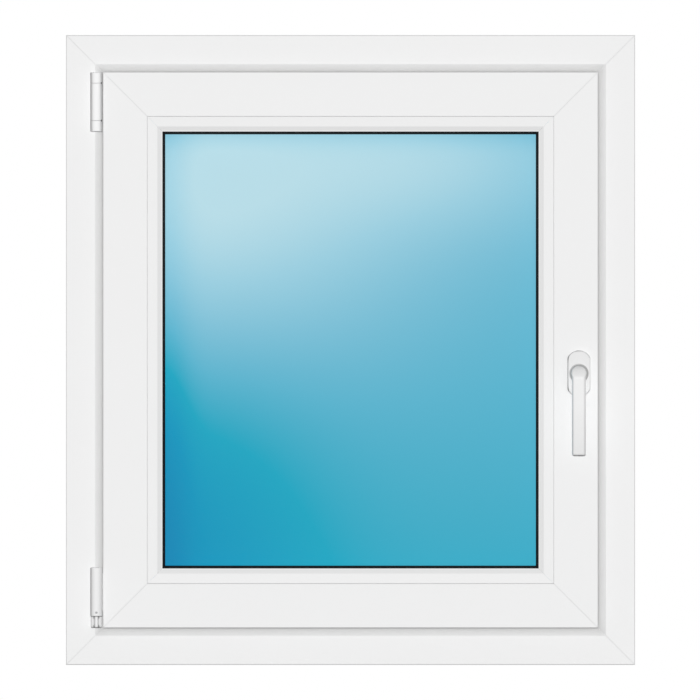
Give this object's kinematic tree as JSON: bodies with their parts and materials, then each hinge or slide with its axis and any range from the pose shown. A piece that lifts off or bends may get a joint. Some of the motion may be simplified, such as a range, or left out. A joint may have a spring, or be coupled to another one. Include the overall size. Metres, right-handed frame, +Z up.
{
  "type": "pvc window",
  "caption": "PVC casement window: white welded frame and sash, clip-in glazing beads, black seals, sealed glazing unit, surface hinges and a turning lever handle.",
  "frame": {"origin": "middle of the frame's underside, at mid-depth of the frame", "axes": "+Z up, +Y outdoors, +X to the handle side as seen from the room"},
  "size_m": [0.75, 0.1322, 0.83],
  "materials": {
    "white_pvc": "smooth satin gloss extrusion",
    "bead_pvc": "smooth satin gloss extrusion",
    "black_seal": "matt black extruded rubber",
    "room_glass": "clear float glass that reflects a pale blue sky",
    "outside_glass": "clear float glass",
    "spacer_bar": "mill-finish hollow bar",
    "hinge_coat": "white powder coat and clip-on covers",
    "pin_steel": "zinc-plated turned pin",
    "handle_coat": "white powder coat",
    "cap_plastic": "moulded white plastic"
  },
  "bodies": {
    "window": {"frame_head": "white_pvc", "frame_sill": "white_pvc", "frame_left_jamb": "white_pvc", "frame_right_jamb": "white_pvc", "sash_top_rail": "white_pvc", "sash_bottom_rail": "white_pvc", "sash_hinge_stile": "white_pvc", "sash_handle_stile": "white_pvc", "glazing_bead_top": "bead_pvc", "glazing_bead_bottom": "bead_pvc", "glazing_bead_left": "bead_pvc", "glazing_bead_right": "bead_pvc", "frame_stop_gasket": "black_seal", "sash_stop_gasket": "black_seal", "room_glazing_gasket": "black_seal", "outside_glazing_gasket": "black_seal", "room_pane": "room_glass", "outside_pane": "outside_glass", "glass_spacer": "spacer_bar", "top_hinge_bearing": "hinge_coat", "top_hinge_barrel": "hinge_coat", "bottom_hinge_foot": "hinge_coat", "bottom_hinge_barrel": "hinge_coat", "top_hinge_pin": "pin_steel", "bottom_hinge_pin": "pin_steel", "handle_rosette": "handle_coat", "drain_cap_left": "cap_plastic", "drain_cap_right": "cap_plastic"},
    "lever": {"handle_lever": "handle_coat"}
  },
  "joints": [
    {"name": "handle_turn", "type": "hinge", "parent": "window", "child": "lever", "pos_m": [0.301, -0.054, 0.384], "axis": [0, 1, 0], "range_deg": [0, 180]}
  ]
}
